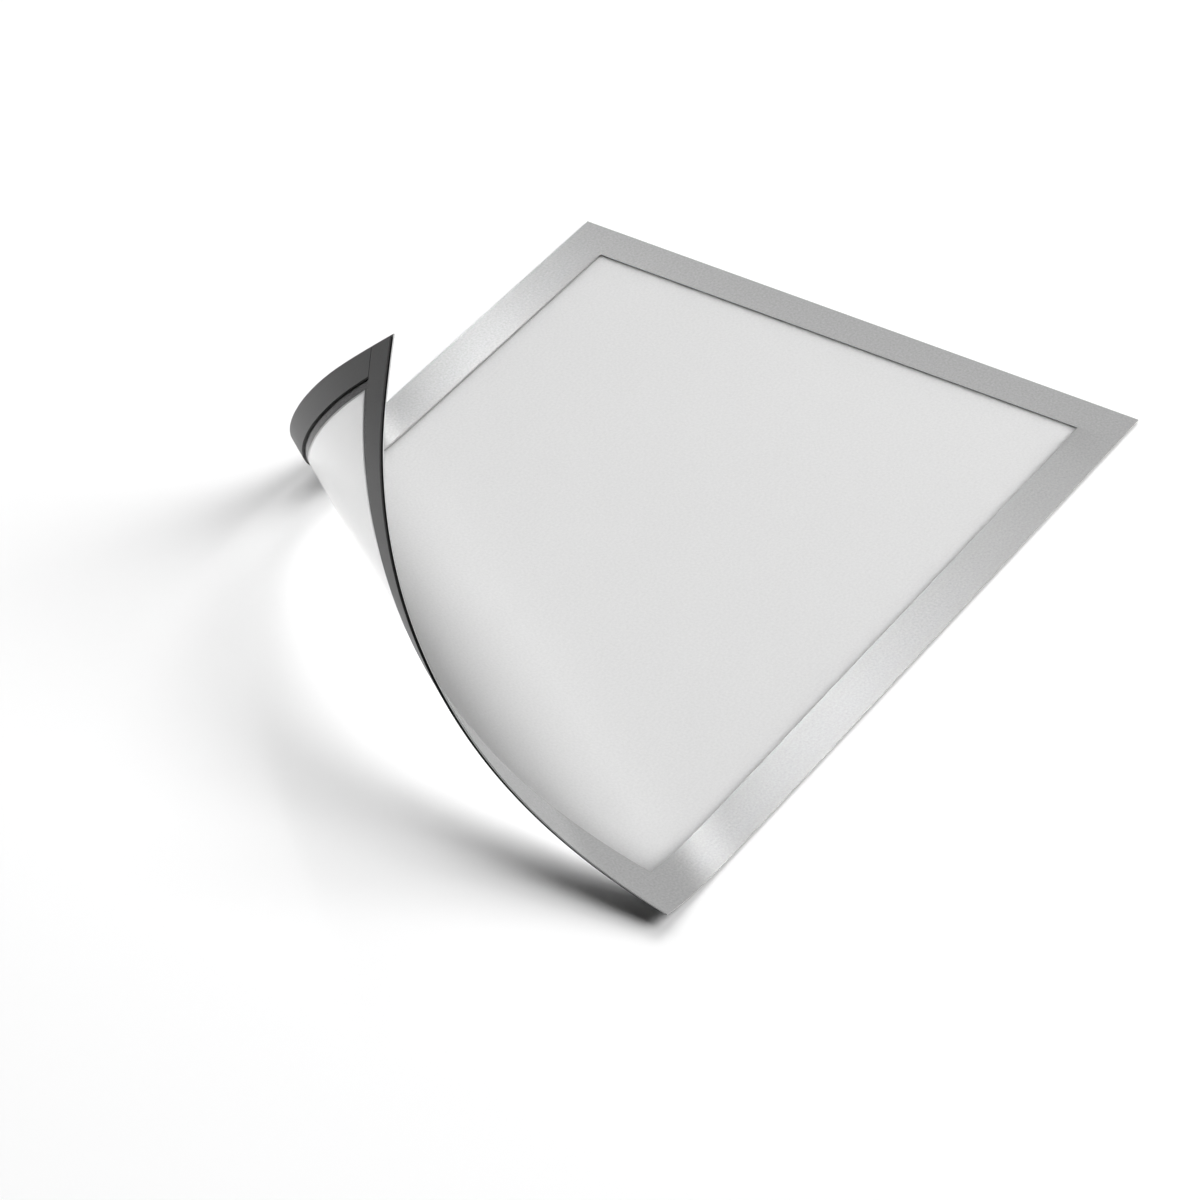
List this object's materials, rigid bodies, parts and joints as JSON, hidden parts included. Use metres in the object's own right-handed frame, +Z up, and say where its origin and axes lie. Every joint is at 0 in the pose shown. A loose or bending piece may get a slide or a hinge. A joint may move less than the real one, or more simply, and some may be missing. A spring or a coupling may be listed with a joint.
{
  "type": "magnetic document frame",
  "caption": "Thin flexible document frame with a clear matte window, a satin silver border and magnet strips on the back, lying flat with one corner curled up and over.",
  "frame": {"origin": "centre of the frame's footprint, on the flat surface that it lies on", "axes": "+Z up, out of the front face; +X along the long side to the top of the frame, away from the curled corner; +Y to the left as seen from the front"},
  "size_m": [0.3226, 0.2363, 0.1155],
  "materials": {
    "silver_border": "satin metallic silver print with a fine grain",
    "clear_film": "clear anti-glare film with a fine matte grain",
    "magnet_rubber": "dark grey flexible magnet strip"
  },
  "bodies": {
    "flat_sheet": {"magnet_strip_left_0": "magnet_rubber", "magnet_strip_right_0": "magnet_rubber", "magnet_strip_top_0": "magnet_rubber", "silver_border_0_top_left_right": "silver_border", "window_film_0": "clear_film"},
    "curl_1": {"magnet_strip_bottom_1": "magnet_rubber", "magnet_strip_left_1": "magnet_rubber", "magnet_strip_right_1": "magnet_rubber", "silver_border_1_bottom_right": "silver_border", "silver_border_1_left": "silver_border", "window_film_1": "clear_film"},
    "curl_2": {"magnet_strip_bottom_2": "magnet_rubber", "magnet_strip_left_2": "magnet_rubber", "silver_border_2_bottom": "silver_border", "silver_border_2_left": "silver_border", "window_film_2": "clear_film"},
    "curl_3": {"magnet_strip_bottom_3": "magnet_rubber", "magnet_strip_left_3": "magnet_rubber", "silver_border_3_bottom": "silver_border", "silver_border_3_left": "silver_border", "window_film_3": "clear_film"},
    "curl_4": {"magnet_strip_bottom_4": "magnet_rubber", "magnet_strip_left_4": "magnet_rubber", "silver_border_4_bottom": "silver_border", "silver_border_4_left": "silver_border", "window_film_4": "clear_film"},
    "curl_5": {"magnet_strip_bottom_5": "magnet_rubber", "magnet_strip_left_5": "magnet_rubber", "silver_border_5_bottom": "silver_border", "silver_border_5_left": "silver_border", "window_film_5": "clear_film"},
    "curl_6": {"magnet_strip_bottom_6": "magnet_rubber", "magnet_strip_left_6": "magnet_rubber", "silver_border_6_bottom": "silver_border", "silver_border_6_left": "silver_border", "window_film_6": "clear_film"},
    "curl_7": {"magnet_strip_bottom_7": "magnet_rubber", "magnet_strip_left_7": "magnet_rubber", "silver_border_7_bottom": "silver_border", "silver_border_7_left": "silver_border", "window_film_7": "clear_film"},
    "curl_8": {"magnet_strip_bottom_8": "magnet_rubber", "magnet_strip_left_8": "magnet_rubber", "silver_border_8_bottom": "silver_border", "silver_border_8_left": "silver_border", "window_film_8": "clear_film"},
    "curl_9": {"magnet_strip_bottom_9": "magnet_rubber", "magnet_strip_left_9": "magnet_rubber", "silver_border_9_bottom_left": "silver_border", "window_film_9": "clear_film"}
  },
  "joints": [
    {"name": "bend_1", "type": "hinge", "parent": "flat_sheet", "child": "curl_1", "pos_m": [-0.03737, 0.03911, 0.00125], "axis": [0.5364, 0.844, 0], "range_deg": [-13.81, 3.5]},
    {"name": "bend_2", "type": "hinge", "parent": "curl_1", "child": "curl_2", "pos_m": [-0.05291, 0.04403, 0.00512], "axis": [0.5623, 0.8269, -0.0076], "range_deg": [-13.81, 3.5]},
    {"name": "bend_3", "type": "hinge", "parent": "curl_2", "child": "curl_3", "pos_m": [-0.06509, 0.04846, 0.01172], "axis": [0.5823, 0.8127, -0.0205], "range_deg": [-13.81, 3.5]},
    {"name": "bend_4", "type": "hinge", "parent": "curl_3", "child": "curl_4", "pos_m": [-0.07445, 0.05215, 0.02038], "axis": [0.5973, 0.8011, -0.0372], "range_deg": [-13.81, 3.5]},
    {"name": "bend_5", "type": "hinge", "parent": "curl_4", "child": "curl_5", "pos_m": [-0.0814, 0.05502, 0.03092], "axis": [0.608, 0.7918, -0.0574], "range_deg": [-13.81, 3.5]},
    {"name": "bend_6", "type": "hinge", "parent": "curl_5", "child": "curl_6", "pos_m": [-0.086, 0.05693, 0.04354], "axis": [0.6143, 0.7848, -0.0815], "range_deg": [-13.81, 3.5]},
    {"name": "bend_7", "type": "hinge", "parent": "curl_6", "child": "curl_7", "pos_m": [-0.08786, 0.05764, 0.05853], "axis": [0.6155, 0.7804, -0.11], "range_deg": [-13.81, 3.5]},
    {"name": "bend_8", "type": "hinge", "parent": "curl_7", "child": "curl_8", "pos_m": [-0.08604, 0.05673, 0.07602], "axis": [0.6099, 0.7795, -0.1431], "range_deg": [-13.81, 3.5]},
    {"name": "bend_9", "type": "hinge", "parent": "curl_8", "child": "curl_9", "pos_m": [-0.07913, 0.05368, 0.09567], "axis": [0.5951, 0.7832, -0.1802], "range_deg": [-13.81, 3.5]}
  ],
  "couplings": [
    {"joint": "bend_2", "follows": "bend_1", "ratio": 1},
    {"joint": "bend_3", "follows": "bend_1", "ratio": 1},
    {"joint": "bend_4", "follows": "bend_1", "ratio": 1},
    {"joint": "bend_5", "follows": "bend_1", "ratio": 1},
    {"joint": "bend_6", "follows": "bend_1", "ratio": 1},
    {"joint": "bend_7", "follows": "bend_1", "ratio": 1},
    {"joint": "bend_8", "follows": "bend_1", "ratio": 1},
    {"joint": "bend_9", "follows": "bend_1", "ratio": 1}
  ]
}
